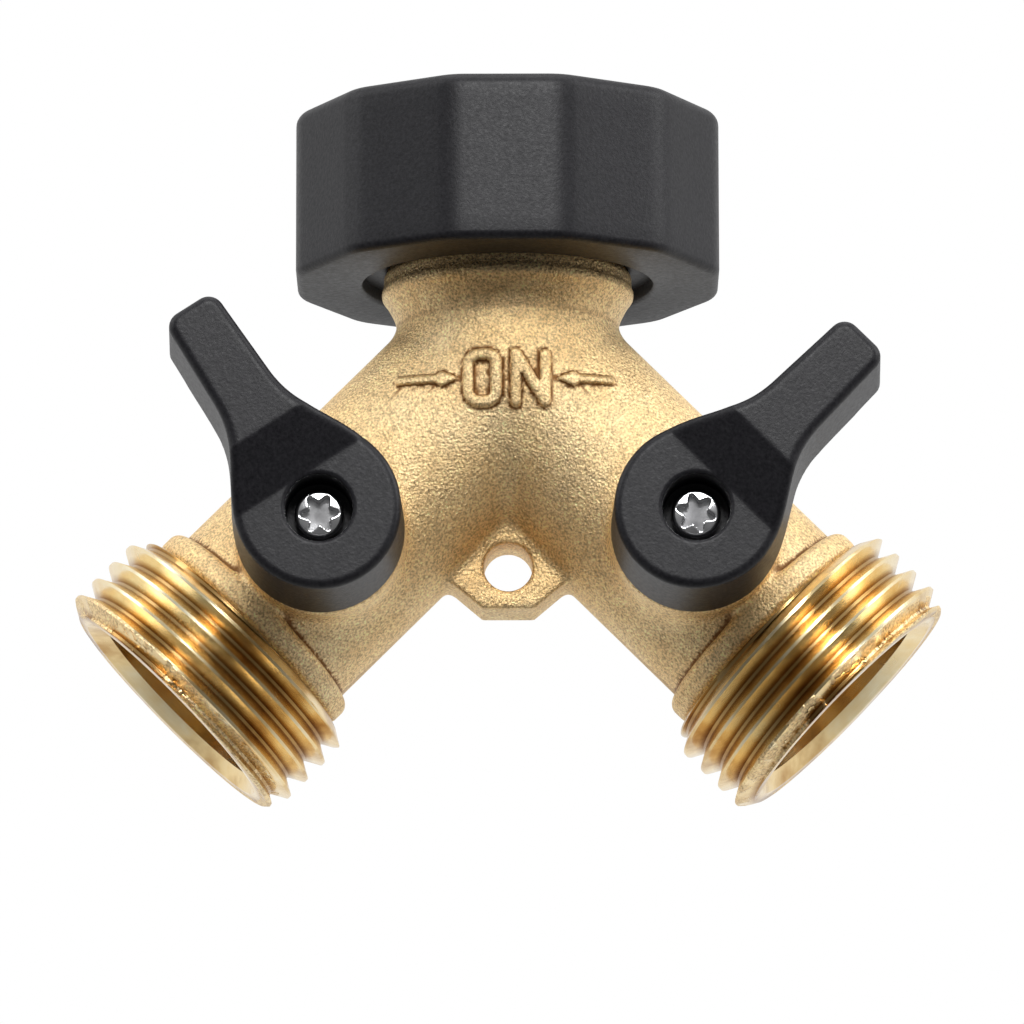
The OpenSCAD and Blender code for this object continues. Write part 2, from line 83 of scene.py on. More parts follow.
neck_r = 11.0
neck_top = body_high.z
groove_r = 10.3
groove_top = neck_top - 1.0
groove_bottom = groove_top - 1.0
shoulder_r = 11.55
shoulder_top = nut_low.z - 0.4
shoulder_bottom = shoulder_top - 2.3
cone_bottom = shoulder_bottom - 2.4
column_r = 10.3
neck_bore_r = 8.5
throat_top = junction_z + 3.0
throat_bottom = junction_z - 2.0
waterway_r = 5.5

arm_r = 10.2
chamber_r = 8.2
chamber_from = 16.2
collar_r = 11.35
collar_from = 32.2
collar_to = 34.8
collar_edge = 0.9
arm_fillet = 1.6

boss_r = 7.7
boss_top = hub_from - 0.3
stop_r = 5.25
stop_top = boss_top + 1.1
lug_reach = 0.85
stem_bore_r = 3.05
lug_half_angle = 0.17
pocket_r = 4.4
pocket_top = 8.75

crotch_z = junction_z - arm_r / DIAGONAL
tab_t = 6.0
tab_hole_r = 2.25
tab_hole_z = crotch_z - 4.0
tab_bottom = tab_hole_z - 3.95
tab_edge_half = 2.4
tab_corner = (5.45, 2.6)

bore_edge = 0.3
cast_edge = 0.35
body_fillet = 1.0

# --- Sizes of the raised mark on the front --------------------------------------------------------

mark_z = junction_z - 2.2
mark_half_h = 4
mark_half_w = 11.5
mark_y = -7.05
mark_rise = 0.5
letter_half_h = 2.75
mark_stroke = 0.52
o_x, o_half, o_corner = -2.35, 1.3, 1.0
n_x, n_half = 2.1, 1.35
arrows = ((-4.5, -10.0), (4.5, 9.5))
arrow_stroke = 0.4
arrow_neck = 1.5

# --- Sizes of the threads -------------------------------------------------------------------------

pitch = 2.209
thread_flat = 0.276
male_crest_r = 13.5
male_depth = 1.43
thread_to = 44.196
last_crest = thread_to - 1.0
outlet_bore_r = 9.75
outlet_mouth_r = 10.8
bore_from = thread_to - 8.7
female_crest_r = 12.3
female_depth = 1.35
female_crest_z = 1.1
tan_flank = math.tan(math.radians(30))

# --- Sizes of the inlet nut and its grip ----------------------------------------------------------

nut_r = 15.5
flange_r = 11.3
flange_t = 1.8
relief_r = 13.65
facets = 12
corner_round = 5.5
top_round = 1.3
bottom_round = 0.8

# --- Sizes of the lever and its screw -------------------------------------------------------------

hub_r = 7.7
hub_to = hub_from + 10.3
handle_from = hub_from + 1.3
handle_to = -lever_low.y
lever_reach = 22.0
tip_half = 2.9
root_half = 3.35
ramp_from = 3.3
ramp_to = 8.4
tip_corner = 1.4
handle_fillet = 5.8
lever_edge = 0.75
recess_r = 3.1
recess_floor = 18.8
cavity_r = 5.45
cavity_top = 13.9
screw_head_r = 2.25
screw_head_top = -screw_low.y
screw_bottom = -screw_high.y
screw_r = 1.5
lobe_r = 1.42
lobe_depth = 0.34

# --- Sizes of the meshes --------------------------------------------------------------------------

casting_step = 0.22
lever_step = 0.16
screw_step = 0.06
casting_triangles = 190000

# --- The look of the brass, and the stage ---------------------------------------------------------

# Painted shade in part: the dark brown laid into the casting's inner corners stands for residue left there and for
# the shade that falls in them.
RESIDUE_AND_SHADE = "residue_and_shade"
RESIDUE_AND_SHADE_COLOUR = (0.26, 0.13, 0.05)
# Painted shade for the outlet threads' roots.
ROOT_SHADE = (0.52, 0.40, 0.26)
FLOOR_Z = -0.26
WORLD_LEAN = (0.10, 0.90, 0.40)
MIDDLE = Vector((0, 0, -0.025))

# --- Distance fields ------------------------------------------------------------------------------


def prism(outline, along, start, end, edge=0.0):
    """Distance to a solid of the given outline between two planes, with its edges rounded."""
    across = outline + edge
    lengthwise = np.abs(along - (start + end) / 2) - ((end - start) / 2 - edge)
    outside = np.hypot(np.maximum(across, 0), np.maximum(lengthwise, 0))
    return outside + np.minimum(np.maximum(across, lengthwise), 0) - edge


def join(a, b, reach):
    """The union of two fields, with a fillet that starts where they are within reach of each other."""
    overlap = np.maximum(reach - np.abs(a - b), 0)
    return np.minimum(a, b) - overlap**2 / (4 * reach)


def cut(a, b, reach):
    """Field a with b taken out, and the edge between them rounded."""
    return -join(-a, b, reach)


def stroke(x, z, start, end, half_width):
    """Distance to a straight stroke with round ends, in a plane."""
    run = (end[0] - start[0], end[1] - start[1])
    length2 = run[0] ** 2 + run[1] ** 2
    share = np.clip(((x - start[0]) * run[0] + (z - start[1]) * run[1]) / length2, 0, 1)
    return np.hypot(x - start[0] - share * run[0], z - start[1] - share * run[1]) - half_width


def grid_axes(low, high, step):
    """The coordinates of a grid over a box, as three arrays that broadcast to the whole grid."""
    lines = []
    for axis in range(3):
        first, last = math.floor(low[axis] / step), math.ceil(high[axis] / step)
        lines.append(np.arange(first, last + 1, dtype=np.float32) * np.float32(step))
    return np.meshgrid(*lines, indexing="ij", sparse=True)


def surface_of(field, axes, step):
    """Points and quads of the surface where a field is zero, turned to face outwards."""
    grid = openvdb.FloatGrid(3.0 * step)
    grid.copyFromArray(np.clip(field, -3 * step, 3 * step).astype(np.float32))
    points, quads = grid.convertToQuads(0.0)
    points = points * step + np.array([line.min() for line in axes])
    corners = points[quads]
    normals = np.cross(corners[:, 2] - corners[:, 0], corners[:, 3] - corners[:, 1])
    volume = (corners.mean(axis=1) * normals).sum()
    return points, quads if volume > 0 else quads[:, ::-1]


# --- Making objects -------------------------------------------------------------------------------


def make_piece(name, points, faces, material, body, replaced=(), sharp=None):
    """An object from points in millimetres, put on its body in place of the CAD nodes it replaces."""
    mesh = bpy.data.meshes.new(name)
    mesh.from_pydata((np.asarray(points) * MM).tolist(), [], np.asarray(faces).tolist())
    shell = bmesh.new()
    shell.from_mesh(mesh)
    bmesh.ops.remove_doubles(shell, verts=shell.verts, dist=0.002 * MM)
    shell.to_mesh(mesh)
    shell.free()
    mesh.shade_smooth()
    if sharp:
        mesh.set_sharp_from_angle(angle=math.radians(sharp))
    mesh.materials.append(material)
    piece = bpy.data.objects.new(name, mesh)
    bpy.context.scene.collection.objects.link(piece)
    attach(piece, body)
    if replaced:
        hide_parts(*replaced)
    return piece


def thin_out(piece, ratio):
    """Merges faces where a surface is plain, and keeps them where it has detail."""
    modifier = piece.modifiers.new("thin_out", "DECIMATE")
    modifier.ratio = ratio
    evaluated = piece.evaluated_get(bpy.context.evaluated_depsgraph_get())
    mesh = bpy.data.meshes.new_from_object(evaluated)
    piece.modifiers.remove(modifier)
    piece.data = mesh
    mesh.shade_smooth()


def ring_faces(rows, columns, helix_rows=0, turn_rows=0):
    """Quads of a closed ring of rows. A helix row meets, at the seam, the row one turn further on."""
    faces = []
    for row in range(rows):
        below = (row + 1) % rows
        shift = turn_rows if row + 1 + turn_rows < helix_rows else 0
        for column in range(columns - 1):
            first, second = row * columns + column, below * columns + column
            faces.append((first, second, second + 1, first + 1))
        first, second = row * columns + columns - 1, below * columns + columns - 1
        faces.append((first, second, (below + shift) * columns, (row + shift) * columns))
    return faces


def profile_stops(flank):
    """Where along one pitch the thread's profile has its corners, with points between them."""
    crest, root = thread_flat / 2, thread_flat / 2 + flank
    stops = [-root]
    for start, end, parts in ((-root, -crest, 4), (-crest, crest, 2), (crest, root, 4)):
        stops += [start + (end - start) * part / parts for part in range(1, parts + 1)]
    return stops


def threaded_ring(start, end, crest_at, crest_r, depth, radius_limit, plain_rows, columns=216):
    """Points and faces of a ring with a right-hand helical thread on one side.

    plain_rows are (height, radius) pairs on its other side, from the thread's end back to its start.
    """
    flank = abs(depth) * tan_flank
    stops = profile_stops(flank)
    turns = range(math.floor((start - crest_at) / pitch) - 2, math.ceil((end - crest_at) / pitch) + 2)
    bases = np.array([crest_at + turn * pitch + stop for turn in turns for stop in stops])
    share = np.arange(columns) / columns
    height = np.clip(bases[:, None] + pitch * share[None, :], start, end)
    phase = (height - crest_at - pitch * share[None, :] + pitch / 2) % pitch - pitch / 2
    radius = crest_r - depth * np.clip((np.abs(phase) - thread_flat / 2) / flank, 0, 1)
    radius = radius_limit(radius, height)
    plain_heights, plain_radii = (np.repeat([row], columns, axis=0).T for row in zip(*plain_rows))
    heights = np.concatenate([height, plain_heights])
    radii = np.concatenate([radius, plain_radii])
    angle = 2 * math.pi * share[None, :]
    points = np.stack([radii * np.cos(angle), radii * np.sin(angle), heights], axis=-1)
    faces = ring_faces(len(heights), columns, len(bases), len(stops))
    return points.reshape(-1, 3), np.array(faces)


def along_axis(points, origin, direction):
    """Points drawn round Z, put round another axis that lies in the XZ plane."""
    along = np.array(direction)
    second = np.array([0.0, 1.0, 0.0])
    first = np.cross(second, along)
    return np.array(origin) + points @ np.array([first, second, along])


# --- Materials ------------------------------------------------------------------------------------


class Graph:
    """A material's node tree, with a short way to add and link nodes."""

    def __init__(self, name):
        self.material = bpy.data.materials.new(name)
        self.material.use_nodes = True
        self.tree = self.material.node_tree
        self.shader = self.tree.nodes["Principled BSDF"]

    def add(self, kind, inputs=None, **settings):
        node = self.tree.nodes.new(kind)
        for key, value in settings.items():
            setattr(node, key, value)
        self.feed(node, inputs or {})
        return node

    def feed(self, node, inputs):
        for key, value in inputs.items():
            if isinstance(value, bpy.types.NodeSocket):
                self.tree.links.new(value, node.inputs[key])
            else:
                node.inputs[key].default_value = value

    def place(self):
        return self.add("ShaderNodeTexCoord").outputs["Object"]

    def noise(self, scale, detail=2.0, roughness=0.5, vector=None):
        inputs = {"Scale": scale, "Detail": detail, "Roughness": roughness}
        inputs["Vector"] = vector or self.place()
        return self.add("ShaderNodeTexNoise", inputs).outputs["Fac"]

    def ramp(self, value, stops):
        """A colour or grey ramp: stops are (position, colour) pairs."""
        node = self.add("ShaderNodeValToRGB", {"Fac": value})
        elements = node.color_ramp.elements
        while len(elements) < len(stops):
            elements.new(0.5)
        for element, (position, colour) in zip(elements, stops):
            element.position = position
            element.color = (*(colour if isinstance(colour, tuple) else (colour,) * 3), 1)
        return node.outputs["Color"]

    def math(self, operation, a, b=0.0):
        return self.add("ShaderNodeMath", {0: a, 1: b}, operation=operation).outputs[0]

    def mix(self, factor, a, b):
        node = self.add("ShaderNodeMix", {"Factor": factor}, data_type="RGBA")
        for socket, value in ((node.inputs[6], a), (node.inputs[7], b)):
            if isinstance(value, bpy.types.NodeSocket):
                self.tree.links.new(value, socket)
            else:
                socket.default_value = (*value, 1)
        return node.outputs[2]

    def times(self, a, b):
        node = self.add("ShaderNodeMix", {"Factor": 1.0}, data_type="RGBA", blend_type="MULTIPLY")
        self.tree.links.new(a, node.inputs[6])
        self.tree.links.new(b, node.inputs[7])
        return node.outputs[2]

    def bump(self, height, strength, distance_mm, below=None):
        inputs = {"Height": height, "Strength": strength, "Distance": distance_mm * MM}
        if below:
            inputs["Normal"] = below
        return self.add("ShaderNodeBump", inputs).outputs["Normal"]

    def axis_distance(self):
        """Millimetres along either arm from the junction, the same on both sides."""
        split = self.add("ShaderNodeSeparateXYZ", {"Vector": self.place()})
        out = self.math("ABSOLUTE", split.outputs["X"])
        down = self.math("SUBTRACT", junction_z * MM, split.outputs["Z"])
        return self.math("MULTIPLY", self.math("ADD", out, down), DIAGONAL / MM)

    def arm_radius(self):
        """Millimetres out from the axis of the nearer arm."""
        split = self.add("ShaderNodeSeparateXYZ", {"Vector": self.place()})
        out = self.math("ABSOLUTE", split.outputs["X"])
        up = self.math("SUBTRACT", split.outputs["Z"], junction_z * MM)
        across = self.math("MULTIPLY", self.math("ADD", out, up), DIAGONAL)
        square = self.math("MULTIPLY", across, across)
        deep = self.math("MULTIPLY", split.outputs["Y"], split.outputs["Y"])
        return self.math("MULTIPLY", self.math("SQRT", self.math("ADD", square, deep)), 1 / MM)


def cast_grain(graph):
    """The shot-blasted skin's height: fine grains over a gentle unevenness."""
    place = graph.place()
    grains = graph.add("ShaderNodeTexVoronoi", {"Vector": place, "Scale": 4000.0}, feature="SMOOTH_F1")
    fine = graph.noise(5200.0, 3.0, 0.7, place)
    dents = graph.noise(800.0, 2.0, 0.5, place)
    mixed = graph.math("ADD", graph.math("MULTIPLY", grains.outputs["Distance"], 0.8), fine)
    return graph.math("ADD", mixed, graph.math("MULTIPLY", dents, 0.9))


def cast_colour(graph, grain):
    tone = graph.ramp(
        graph.noise(70.0, 4.0, 0.6),
        [(0.3, (0.90, 0.64, 0.32)), (0.5, (0.95, 0.70, 0.38)), (0.72, (1.0, 0.78, 0.47))],
    )
    pits = graph.ramp(graph.math("MULTIPLY", grain, 0.5), [(0.50, 1.0), (0.90, 0.66)])
    specks = graph.ramp(graph.noise(4300.0, 2.0, 0.6), [(0.34, 0.66), (0.48, 1.0), (0.62, 1.35)])
    # Painted shade in part: the dark brown mixed in at inner corners is residue and painted shade together.
    residue_and_shade_share = graph.add("ShaderNodeAttribute", attribute_name=RESIDUE_AND_SHADE).outputs["Fac"]
    return graph.mix(residue_and_shade_share, graph.times(graph.times(tone, pits), specks), RESIDUE_AND_SHADE_COLOUR)


def cast_brass():
    graph = Graph("cast_brass")
    grain = cast_grain(graph)
    inputs = {
        "Base Color": cast_colour(graph, grain),
        "Metallic": 1.0,
        "Roughness": graph.ramp(graph.noise(500.0, 3.0), [(0.3, 0.48), (0.7, 0.60)]),
        "Normal": graph.bump(grain, 1.0, 0.10),
    }
    graph.feed(graph.shader, inputs)
    return graph.material


def turned_brass(name, sandy_end=False):
    """Bright turned brass with tool lines round an arm. A sandy end keeps some cast skin."""
    graph = Graph(name)
    along = graph.axis_distance()
    line_inputs = {"W": along, "Scale": 9.0, "Detail": 3.0}
    lines = graph.add("ShaderNodeTexNoise", line_inputs, noise_dimensions="1D")
    # Painted reflections: around the turned brass's own gold, the dark brown and near-white patches stand for dark
    # and bright reflections on the threads.
    painted_reflection_tone = graph.ramp(
        graph.noise(120.0, 4.0, 0.6),
        [(0.32, (0.58, 0.36, 0.14)), (0.47, (0.92, 0.70, 0.36)), (0.70, (1.0, 0.90, 0.64))],
    )
    roughness = graph.ramp(graph.noise(300.0, 3.0), [(0.3, 0.16), (0.75, 0.30)])
    fine_lines = graph.bump(lines.outputs["Fac"], 0.22, 0.02)
    if not sandy_end:
        inputs = {"Base Color": painted_reflection_tone, "Metallic": 1.0, "Roughness": roughness}
        inputs["Normal"] = fine_lines
        graph.feed(graph.shader, inputs)
        return graph.material
    past_crest = graph.math("GREATER_THAN", along, last_crest - 0.5)
    outside = graph.math("GREATER_THAN", graph.arm_radius(), outlet_mouth_r + 0.9)
    on_land = graph.math("MULTIPLY", past_crest, outside)
    patches = graph.ramp(graph.noise(230.0, 4.0, 0.65), [(0.46, 0.0), (0.52, 1.0)])
    mask = graph.math("MULTIPLY", on_land, patches)
    grain = cast_grain(graph)
    # Painted shade: the turned brass is darkened in the thread roots, where shade falls.
    depth = graph.math("MULTIPLY", graph.math("SUBTRACT", graph.arm_radius(), 10.0), 0.25)
    painted_root_shade = graph.ramp(depth, [(0.30, 1.0), (0.47, ROOT_SHADE), (0.53, ROOT_SHADE), (0.68, 1.0)])
    inputs = {
        "Base Color": graph.mix(mask, graph.times(painted_reflection_tone, painted_root_shade), cast_colour(graph, grain)),
        "Metallic": 1.0,
        "Roughness": graph.mix(mask, roughness, (0.45, 0.45, 0.45)),
        "Normal": graph.bump(graph.math("MULTIPLY", grain, mask), 0.7, 0.08, fine_lines),
    }
    graph.feed(graph.shader, inputs)
    return graph.material


def black_plastic():
    graph = Graph("black_plastic")
    texture = graph.noise(3200.0, 3.0, 0.65)
    dark, light = (0.0030, 0.0028, 0.0045), (0.0160, 0.0155, 0.0185)
    inputs = {
        "Base Color": graph.ramp(texture, [(0.3, dark), (0.7, light)]),
        "Roughness": graph.ramp(graph.noise(2600.0, 3.0), [(0.3, 0.40), (0.7, 0.50)]),
        "Normal": graph.bump(texture, 0.55, 0.045),
    }
    graph.feed(graph.shader, inputs)
    graph.shader.inputs["Specular IOR Level"].default_value = 0.30
    return graph.material


def plain_material(name, dark, light, rough, metallic, grain_mm):
    """A surface of nearly one tone, with slight changes in tone and gloss."""
    graph = Graph(name)
    inputs = {
        "Base Color": graph.ramp(graph.noise(160.0, 3.0), [(0.3, dark), (0.7, light)]),
        "Metallic": metallic,
        "Roughness": graph.ramp(graph.noise(420.0, 3.0), [(0.3, rough[0]), (0.7, rough[1])]),
    }
    if grain_mm:
        inputs["Normal"] = graph.bump(graph.noise(3000.0, 2.0), 0.3, grain_mm)
    graph.feed(graph.shader, inputs)
    return graph.material


materials = {
    "cast_brass": cast_brass(),
    "machined_brass": turned_brass("machined_brass"),
    "outlet_brass": turned_brass("outlet_brass", sandy_end=True),
    "black_plastic": black_plastic(),
}
for name, dark, light, rough, metallic, grain_mm in (
    ("black_rubber", (0.016,) * 3, (0.028,) * 3, (0.55, 0.7), 0.0, 0.02),
    ("white_ptfe", (0.78, 0.78, 0.75), (0.86, 0.86, 0.84), (0.32, 0.42), 0.0, 0.01),
    ("spring_steel", (0.5, 0.51, 0.53), (0.62, 0.63, 0.65), (0.25, 0.35), 1.0, 0.005),
    ("chromed_screw", (0.74, 0.74, 0.76), (0.84, 0.84, 0.85), (0.1, 0.2), 1.0, 0.0),
    ("chromed_ball", (0.76, 0.76, 0.78), (0.85, 0.85, 0.86), (0.04, 0.09), 1.0, 0.0),
):
    materials[name] = plain_material(name, dark, light, rough, metallic, grain_mm)

# --- The casting ----------------------------------------------------------------------------------


def arm_field(x, y, z):
    """One arm with its collar, boss and stop ring, drawn on the right side."""
    along = (x - (z - junction_z)) * DIAGONAL
    across = (x + (z - junction_z)) * DIAGONAL
    round_arm = np.hypot(across, y)
    field = prism(round_arm - arm_r, along, 0, collar_to - 1)
    collar = prism(round_arm - collar_r, along, collar_from, collar_to, collar_edge)
    field = join(field, collar, 0.3)
    round_stem = np.hypot(along - stem_a, across)
    boss = prism(round_stem - boss_r, -y, 0, boss_top, cast_edge)
    field = join(field, boss, arm_fillet)
    stop = prism(round_stem - stop_r, -y, boss_top - 1, stop_top, 0.1)
    around = np.arctan2(along - stem_a, -across)
    lug_side = (np.abs(around - math.pi / 4) - lug_half_angle) * stop_r
    lug_outline = np.maximum(round_stem - stop_r - lug_reach, lug_side)
    lug = prism(lug_outline, -y, boss_top - 1, stop_top, 0.1)
    return np.minimum(field, np.minimum(stop, lug))


def arm_bores(x, y, z):
    along = (x - (z - junction_z)) * DIAGONAL
    across = (x + (z - junction_z)) * DIAGONAL
    round_arm = np.hypot(across, y)
    round_stem = np.hypot(along - stem_a, across)
    bores = prism(round_arm - waterway_r, along, 0, stem_a)
    bores = np.minimum(bores, prism(round_arm - chamber_r, along, chamber_from, collar_to + 2))
    bores = np.minimum(bores, prism(round_stem - pocket_r, -y, 0, pocket_top))
    return np.minimum(bores, prism(round_stem - stem_bore_r, -y, 0, stop_top + 2))


def neck_field(x, y, z):
    """The neck, its groove, the cast shoulder, and the column down to the junction."""
    round_neck = np.hypot(x, y)
    column = prism(round_neck - column_r, z, junction_z, shoulder_bottom)
    share = np.clip((z - cone_bottom) / (shoulder_bottom - cone_bottom), 0, 1)
    flare = (shoulder_r - column_r) * share
    cone = prism(round_neck - column_r - flare, z, cone_bottom, shoulder_bottom + 0.5)
    shoulder = prism(round_neck - shoulder_r, z, shoulder_bottom, shoulder_top, cast_edge)
    neck = prism(round_neck - neck_r, z, shoulder_bottom, neck_top, 0.3)
    field = np.minimum(join(column, join(cone, shoulder, 0.8), 0.5), neck)
    groove = np.maximum(groove_r - round_neck, np.abs(z - (groove_top + groove_bottom) / 2) - 0.5)
    return np.maximum(field, -groove)


def tab_field(x, y, z):
    side = np.abs(x)
    run = (tab_corner[0] - tab_edge_half, tab_corner[1])
    slant = ((side - tab_edge_half) * run[1] - (z - tab_bottom) * run[0]) / math.hypot(*run)
    outline = np.maximum(tab_bottom - z, slant)
    outline = np.maximum(outline, (side - (crotch_z - z) - 1.2) * DIAGONAL)
    outline = np.maximum(outline, z - crotch_z - 2.5)
    return prism(outline, y, -tab_t / 2, tab_t / 2, cast_edge)


def casting_half(x, y, z):
    """The casting for x of zero and more, where the other arm counts only near the middle."""
    other_along = (-x - (z - junction_z)) * DIAGONAL
    other_across = (-x + (z - junction_z)) * DIAGONAL
    other = prism(np.hypot(other_across, y) - arm_r, other_along, 0, stem_a)
    field = join(arm_field(x, y, z), other, arm_fillet)
    field = join(field, np.sqrt(x**2 + y**2 + (z - junction_z) ** 2) - column_r, 0.5)
    field = join(field, neck_field(x, y, z), body_fillet)
    field = join(field, tab_field(x, y, z), body_fillet)
    throat_share = np.clip((z - throat_bottom) / (throat_top - throat_bottom), 0, 1)
    throat_r = waterway_r + (neck_bore_r - waterway_r) * throat_share
    throat = prism(np.hypot(x, y) - throat_r, z, throat_bottom, neck_top + 2)
    field = cut(field, throat, bore_edge)
    field = cut(field, arm_bores(x, y, z), bore_edge)
    hole = np.hypot(x, z - tab_hole_z) - tab_hole_r
    return cut(field, hole, 0.5)


def mark_outline(x, z):
    """The raised function mark on the front: the word for open between two arrows."""
    up = z - mark_z
    tall = letter_half_h - mark_stroke
    inside = np.hypot(
        np.maximum(np.abs(x - o_x) - (o_half - o_corner), 0),
        np.maximum(np.abs(up) - (tall - o_corner), 0),
    )
    mark = np.abs(inside - o_corner) - mark_stroke
    n_left, n_right = n_x - n_half, n_x + n_half
    for start, end in (
        ((n_left, -tall), (n_left, tall)),
        ((n_right, -tall), (n_right, tall)),
        ((n_left, tall), (n_right, -tall)),
    ):
        mark = np.minimum(mark, stroke(x, up, start, end, mark_stroke))
    for tip, tail in arrows:
        sign = 1 if tip < 0 else -1
        shaft = stroke(x, up, (tail, 0), (tip - sign * arrow_neck, 0), arrow_stroke)
        mark = np.minimum(mark, shaft)
        back = (tip - x) * sign
        point = (np.abs(up) - back * 0.50) * 0.89
        barb = (np.abs(up) + back * 0.9 - 2.3) * 0.74
        head = np.maximum(point, barb)
        mark = np.minimum(mark, head)
    return mark


def residue_and_shade_at(points, field, axes, step):
    """How dark the skin is at each point: most in the sharp inner corners, partly brown residue that stays there
    and partly painted shade.
    """
    near = []
    for axis, line in enumerate(axes):
        near.append(np.rint((points[:, axis] - line.min()) / step).astype(int))
    i, j, k = (np.clip(index, 1, size - 2) for index, size in zip(near, field.shape))
    around = field[i - 1, j, k] + field[i + 1, j, k] + field[i, j - 1, k] + field[i, j + 1, k]
    around += field[i, j, k - 1] + field[i, j, k + 1]
    curve = (around - 6 * field[i, j, k]) / step**2
    return np.clip((-curve - 0.85) / 1.5, 0, 1)


def make_casting():
    """The casting's right half, mirrored, with the raised mark added to the whole."""
    step = casting_step
    margin = 3 * step
    low = (0, body_low.y - margin, body_low.z - margin)
    high = (39.0, body_high.y + margin, body_high.z + margin)
    axes = grid_axes(low, high, step)
    half = casting_half(*axes)
    field = np.concatenate([half[:0:-1], half], axis=0)
    x = np.concatenate([-axes[0][:0:-1], axes[0]], axis=0)
    _, y, z = axes
    columns = np.flatnonzero(np.abs(x[:, 0, 0]) < mark_half_w)
    rows = np.flatnonzero(y[0, :, 0] < mark_y)
    layers = np.flatnonzero(np.abs(z[0, 0, :] - mark_z) < mark_half_h)
    spot = np.ix_(columns, rows, layers)
    skin = field[spot]
    outline = mark_outline(x[columns], z[:, :, layers])
    raised = -join(-(skin - mark_rise), -outline, cast_edge)
    field[spot] = join(skin, raised, 0.18)
    points, quads = surface_of(field, (x, y, z), step)
    piece = make_piece(
        "casting", points, quads, materials["cast_brass"], "root", ("valve_body",)
    )
    places = np.empty(3 * len(piece.data.vertices))
    piece.data.vertices.foreach_get("co", places)
    residue_and_shade = residue_and_shade_at(places.reshape(-1, 3) / MM, field, (x, y, z), step)
    layer = piece.data.attributes.new(RESIDUE_AND_SHADE, "FLOAT", "POINT")
    layer.data.foreach_set("value", residue_and_shade.astype(np.float32))
    thin_out(piece, min(1.0, casting_triangles / (2 * len(quads))))


# --- The outlets' threads -------------------------------------------------------------------------


def make_outlet(side):
    """One outlet's helical thread, with the bore and the mouth inside it."""

    def limit(radius, height):
        chamfer = male_crest_r - male_depth + (thread_to - height) * 1.05 + 0.45
        runout = 12.2 + (height - collar_to) * 1.6
        return np.minimum(radius, np.minimum(chamfer, runout))

    inner = [
        (thread_to, outlet_mouth_r + 0.15),
        (thread_to - 0.12, outlet_mouth_r),
        (thread_to - 0.12 - (outlet_mouth_r - outlet_bore_r), outlet_bore_r),
        (bore_from, outlet_bore_r),
        (bore_from - 0.01, chamber_r),
        (collar_to - 0.6, chamber_r),
        (collar_to - 0.6, collar_r - 0.8),
        (collar_to, collar_r - 0.8),
    ]
    points, faces = threaded_ring(
        collar_to, thread_to, last_crest, male_crest_r, male_depth, limit, inner
    )
    points = along_axis(points, (0, 0, junction_z), (side * DIAGONAL, 0, -DIAGONAL))
    name = "left_outlet_thread" if side < 0 else "right_outlet_thread"
    make_piece(
        name, points, faces, materials["outlet_brass"], "root", sharp=35
    )


# --- The inlet nut --------------------------------------------------------------------------------


def make_nut():
    """The brass nut: a helical thread inside, and the flange under the retaining ring."""
    def limit(radius, height):
        lead_in = female_crest_r + (height - (nut_high.z - 1.0))
        return np.maximum(radius, lead_in)

    outer = [
        (nut_high.z, nut_r - 0.3),
        (nut_high.z - 0.3, nut_r),
        (nut_low.z, nut_r),
        (nut_low.z, flange_r),
        (nut_low.z + flange_t, flange_r),
        (nut_low.z + flange_t, relief_r),
        (0.0, relief_r),
    ]
    points, faces = threaded_ring(
        0.0, nut_high.z, female_crest_z, female_crest_r, -female_depth, limit, outer
    )
    make_piece(
        "inlet_nut", points, faces[:, ::-1], materials["machined_brass"], "nut",
        ("swivel_nut",), sharp=35,
    )


